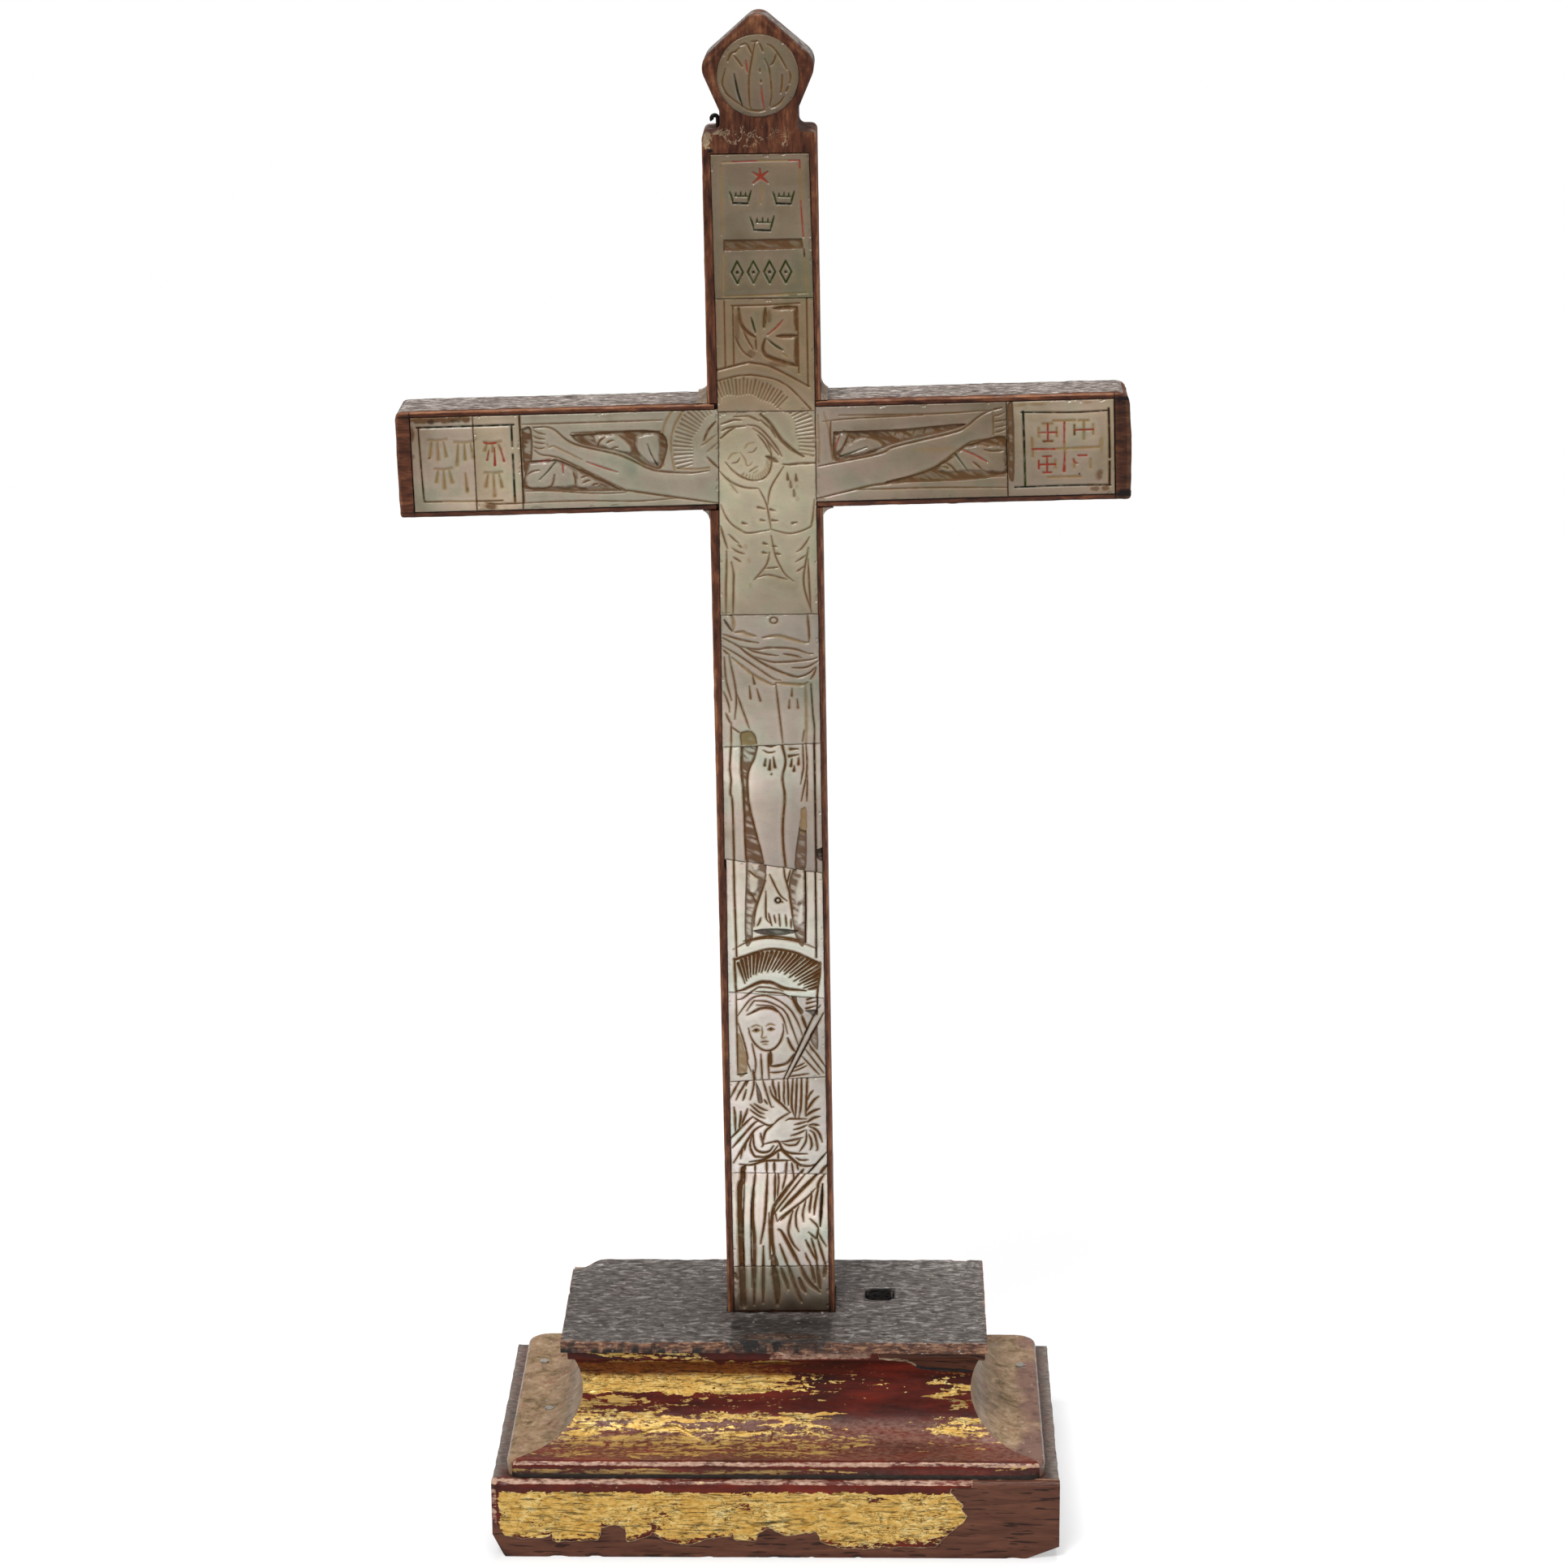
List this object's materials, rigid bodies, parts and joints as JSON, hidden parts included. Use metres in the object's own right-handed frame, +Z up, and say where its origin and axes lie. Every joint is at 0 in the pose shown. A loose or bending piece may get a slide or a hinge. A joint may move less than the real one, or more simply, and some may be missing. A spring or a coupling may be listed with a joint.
{
  "type": "standing devotional cross",
  "caption": "Wooden standing cross faced with engraved pearl plates, its foot set in the mortise of a stepped base with a gilded hollow moulding.",
  "frame": {"origin": "middle of the plinth's underside, on the surface it stands on", "axes": "+Z up, +X to the viewer's right, +Y away from the viewer, who faces the engraved side"},
  "size_m": [0.1567, 0.0766, 0.3351],
  "materials": {
    "cross_wood": "satin",
    "pearl": "satin",
    "putty": "matte",
    "iron": "matte",
    "slab_wood": "matte",
    "core_wood": "matte",
    "gilded_wood": "satin",
    "moulding_wood": "satin"
  },
  "bodies": {
    "base": {"top_slab": "slab_wood", "core_block": "core_wood", "front_moulding": "gilded_wood", "back_moulding": "moulding_wood", "left_moulding": "moulding_wood", "right_moulding": "moulding_wood", "plinth": "gilded_wood", "moulding_brads": "iron"},
    "cross": {"upright": "cross_wood", "crossbar": "cross_wood", "corner_filler": "putty", "neck_hook": "iron", "medallion": "pearl", "title_plate": "pearl", "leaf_plate": "pearl", "torso_plate": "pearl", "loincloth_plate": "pearl", "shin_plate": "pearl", "feet_plate": "pearl", "mother_head_plate": "pearl", "mother_hands_plate": "pearl", "robe_plate": "pearl", "hem_plate": "pearl", "left_end_plate": "pearl", "left_inner_plate": "pearl", "left_arm_plate": "pearl", "right_arm_plate": "pearl", "right_end_plate": "pearl"}
  },
  "joints": [
    {"name": "cross_lift", "type": "slide", "parent": "base", "child": "cross", "axis": [-0.0119, 0, 0.9999], "range_m": [0, 0.05]}
  ]
}
